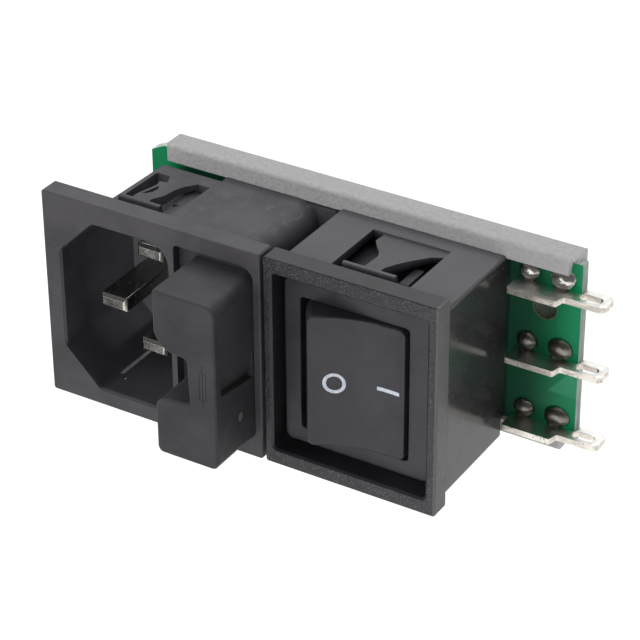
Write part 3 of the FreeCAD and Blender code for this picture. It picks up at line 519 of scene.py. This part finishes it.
# -------------------------------------------------------- solder, remodelled
def blob(cx, cz, rx, rz, h, seed, tip=None, y0=18.5, sign=-1, foot=0.22, n=40, rings=16, lump=0.06):
    # a solder fillet on the board: wetted foot, swollen middle, a pin's end under it
    rnd = random.Random(seed)
    off = Vector((rnd.uniform(0, 50), rnd.uniform(0, 50), rnd.uniform(0, 50)))
    v, f = [], []
    lean = (rnd.uniform(-0.12, 0.12), rnd.uniform(-0.12, 0.12))
    for k in range(rings + 1):
        t = k / rings                       # 0 at the foot, 1 at the crown
        a = t * math.pi / 2
        rr = math.cos(a) ** 0.85
        hh = math.sin(a) ** 1.15
        if t < 0.15:
            rr = 1.0 - 0.25 * (t / 0.15) ** 1.6 * 0.12
        for i in range(n):
            b = 2 * math.pi * i / n
            d = Vector((math.cos(b) * rr, math.sin(b) * rr, hh))
            w = 1 + lump * 1.8 * (noise.noise(d * 1.6 + off)) + lump * 0.6 * noise.noise(d * 4.0 + off)
            x = cx + rx * rr * math.cos(b) * w + lean[0] * hh
            z = cz + rz * rr * math.sin(b) * w + lean[1] * hh
            hgt = h * hh * w
            if tip and t > 0.55:
                e = max(abs(x - cx - tip[2]) / tip[0], abs(z - cz - tip[3]) / tip[1])
                hgt += 0.16 * max(0.0, 1 - e ** 4)
            v.append(P(x, y0 + sign * hgt, z))
    for k in range(rings):
        for i in range(n):
            j = (i + 1) % n
            f.append((k * n + i, k * n + j, (k + 1) * n + j, (k + 1) * n + i))
    f.append(tuple(range(n)))
    return v, f


def joined(parts):
    v, f = [], []
    for pv, pf in parts:
        k = len(v)
        v += pv
        f += [tuple(i + k for i in face) for face in pf]
    return v, f


TOPS = (10.35, 0.45, -9.45)
fronts = []
for zi, z in enumerate(TOPS):
    for xi, x in enumerate((59.3, 63.8)):
        rx, rz, up_ = (1.45, 1.32, 1.25) if xi == 0 else (1.75, 1.42, 1.4)
        fronts.append(blob(x, z + up_, rx, rz, 0.98, 11 + zi * 2 + xi, lump=0.03))
solder_f = mesh_piece("solder_front_joints", *joined(fronts), M["solder"], "module", "solder")
# painted shade: the joints of the two lower rows take a darker copy of the solder
solder_f.data.materials.append(M["solder_painted_shade"])
for p in solder_f.data.polygons:
    if p.center.z < 6.0 * MM:
        p.material_index = 1
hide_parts("solder_front")

POLE = 5.0
legs = [(12.6, 6.8, 1.0, 0.5), (12.6, -7.2, 1.0, 0.5), (8.65, -0.2, 1.0, 0.5)]
legs += [(29.58, s * 8.4, 0.2, 0.6) for s in (-1, 1)] + [(20.32, s * 8.4, 0.2, 0.6) for s in (-1, 1)]
legs += [(44.55, s * POLE, 0.6, 0.4) for s in (-1, 1)] + [(39.7, s * POLE, 0.6, 0.4) for s in (-1, 1)]
for z in TOPS:
    legs += [(59.3, z - 0.4, 0.6, 0.4), (63.1, z - 0.4, 0.6, 0.4)]


def fillet(cx, cz, a, b, seed, y0=19.95, h=0.95, n=36, rings=12):
    rnd = random.Random(seed)
    off = Vector((rnd.uniform(0, 50), rnd.uniform(0, 50), rnd.uniform(0, 50)))
    v, f = [], []
    for k in range(rings + 1):
        t = k / rings
        g = (1 - t) ** 2.1
        for i in range(n):
            q = 2 * math.pi * i / n
            cx_, sx_ = math.cos(q), math.sin(q)
            # from a round foot to the leg's squarish section
            sq = 1.0 / max(abs(cx_), abs(sx_)) ** 0.6
            r_foot = 0.72 + 0.5
            ex = (a + 0.06) * sq * cx_ * (1 - g) + (a * 0.55 + r_foot) * g * cx_
            ez = (b + 0.06) * sq * sx_ * (1 - g) + (b * 0.55 + r_foot) * g * sx_
            w = 1 + 0.05 * noise.noise(Vector((cx_ * 1.5, sx_ * 1.5, t * 2)) + off)
            x, z = cx + ex * w, cz + ez * w
            z = max(-10.3, min(12.7, z))
            v.append(P(x, y0 + h * t + 0.02 * math.sin(t * 9), z))
    for k in range(rings):
        for i in range(n):
            j = (i + 1) % n
            f.append((k * n + i, k * n + j, (k + 1) * n + j, (k + 1) * n + i))
    f.append(tuple(range(n)))
    f.append(tuple(rings * n + i for i in range(n)))
    return v, f


solder_r = mesh_piece("solder_rear_joints", *joined([fillet(x, z, a, b, 40 + i) for i, (x, z, a, b) in enumerate(legs)]),
                      M["solder"], "module", "solder")
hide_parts("solder_rear")

# --------------------------------------------------- wire hole's plated ring
hx, hz, hr = 61.5, 6.95, 1.55
v, f = [], []
n = 64
prof = [(hr + 0.13, 18.5), (hr + 0.11, 18.48), (hr + 0.02, 18.48), (hr - 0.02, 18.5), (hr - 0.02, 19.95),
        (hr + 0.02, 19.97), (hr + 0.11, 19.97), (hr + 0.13, 19.95)]
for i in range(n):
    a = 2 * math.pi * i / n
    for r, y in prof:
        v.append(P(hx + r * math.cos(a), y, hz + r * math.sin(a)))
k = len(prof)
for i in range(n):
    j = (i + 1) % n
    for q in range(k - 1):
        f.append((i * k + q, i * k + q + 1, j * k + q + 1, j * k + q))
    f.append((i * k + k - 1, i * k, j * k, j * k + k - 1))
mesh_piece("wire_hole_ring", v, f, dark.m, "module", "board")

# the hole is closed by a dished plug of dark resin
v, f = [], []
rows = [(hr - 0.01, 19.5), (hr - 0.01, 18.72), (hr * 0.93, 18.80), (hr * 0.75, 18.9), (hr * 0.5, 18.96), (hr * 0.22, 18.985)]
for r_, y in rows:
    for i in range(n):
        a = 2 * math.pi * i / n
        w = 0.03 * noise.noise(Vector((math.cos(a) * r_, math.sin(a) * r_, 3.0)))
        v.append(P(hx + r_ * math.cos(a), y + w, hz + r_ * math.sin(a)))
for q in range(len(rows) - 1):
    for i in range(n):
        j = (i + 1) % n
        f.append((q * n + i, q * n + j, (q + 1) * n + j, (q + 1) * n + i))
f.append(tuple(range(n)))
f.append(tuple((len(rows) - 1) * n + i for i in range(n)))
mesh_piece("wire_hole_plug", v, f, plug.m, "module", "board")

# ------------------------------------------------------------------- studio
scene = bpy.context.scene
scene.view_settings.view_transform = "Standard"
scene.view_settings.look = "None"
scene.view_settings.exposure = 0.0
scene.view_settings.gamma = 1.0

world = bpy.data.worlds.new("studio")
scene.world = world
world.use_nodes = True
wn = world.node_tree
bg = wn.nodes["Background"]
bg.inputs[0].default_value = (1.0, 1.0, 1.0, 1.0)
# brighter behind and above the part, darker in front of it
wc = wn.nodes.new("ShaderNodeTexCoord")
ws = wn.nodes.new("ShaderNodeSeparateXYZ")
wr = wn.nodes.new("ShaderNodeMapRange")
wr.interpolation_type = "SMOOTHSTEP"
wn.links.new(wc.outputs["Generated"], ws.inputs[0])
wn.links.new(ws.outputs[1], wr.inputs["Value"])
for k_, v_ in (("From Min", -0.30), ("From Max", 0.20), ("To Min", 0.12), ("To Max", 0.68)):
    wr.inputs[k_].default_value = v_
wn.links.new(wr.outputs[0], bg.inputs[1])

fl = bpy.data.meshes.new("floor")
s = 3.0
fl.from_pydata([(-s, -s, -0.11), (s, -s, -0.11), (s, s, -0.11), (-s, s, -0.11)], [], [(0, 1, 2, 3)])
floor = bpy.data.objects.new("floor", fl)
scene.collection.objects.link(floor)
fm = Mat("floor_white")
fm.b.inputs["Base Color"].default_value = (0.9, 0.9, 0.9, 1.0)
fm.b.inputs["Roughness"].default_value = 0.9
fl.materials.append(fm.m)


def area(name, where, target, size, power, shape="RECTANGLE", size_y=None, color=(1, 1, 1)):
    l = bpy.data.lights.new(name, "AREA")
    l.shape = shape
    l.size = size
    if size_y:
        l.size_y = size_y
    l.energy = power
    l.color = color
    o = bpy.data.objects.new(name, l)
    scene.collection.objects.link(o)
    o.location = where
    d = Vector(target) - Vector(where)
    o.rotation_euler = d.to_track_quat("-Z", "Y").to_euler()
    return o


area("top_box", (-0.05, 0.30, 0.75), (0.0, 0.0, 0.0), 0.9, 5.0, size_y=0.7)
for soft in (area("left_box", (-0.7, -0.55, 0.45), (0.0, 0.0, 0.0), 0.6, 7.0, size_y=0.6),
             area("front_box", (0.15, -0.9, 0.35), (0.0, 0.0, 0.0), 0.6, 4.5, size_y=0.5)):
    soft.visible_glossy = False



def card(name, where, target, w, h, level):
    # a studio card that shows only in reflections
    me = bpy.data.meshes.new(name)
    me.from_pydata([(-w / 2, -h / 2, 0), (w / 2, -h / 2, 0), (w / 2, h / 2, 0), (-w / 2, h / 2, 0)], [], [(0, 1, 2, 3)])
    mt = bpy.data.materials.new(name)
    mt.use_nodes = True
    t = mt.node_tree
    t.nodes.clear()
    e = t.nodes.new("ShaderNodeEmission")
    e.inputs["Color"].default_value = (1, 1, 1, 1)
    e.inputs["Strength"].default_value = level
    o = t.nodes.new("ShaderNodeOutputMaterial")
    t.links.new(e.outputs[0], o.inputs[0])
    me.materials.append(mt)
    ob = bpy.data.objects.new(name, me)
    scene.collection.objects.link(ob)
    ob.location = where
    ob.rotation_euler = (Vector(target) - Vector(where)).to_track_quat("-Z", "Y").to_euler()
    ob.visible_camera = False
    ob.visible_diffuse = False
    ob.visible_shadow = False
    ob.visible_transmission = False
    ob.visible_volume_scatter = False
    return ob


card("front_card", (-0.18, -0.17, -0.105), (-0.18, -0.17, 0.5), 0.18, 0.26, 0.07)
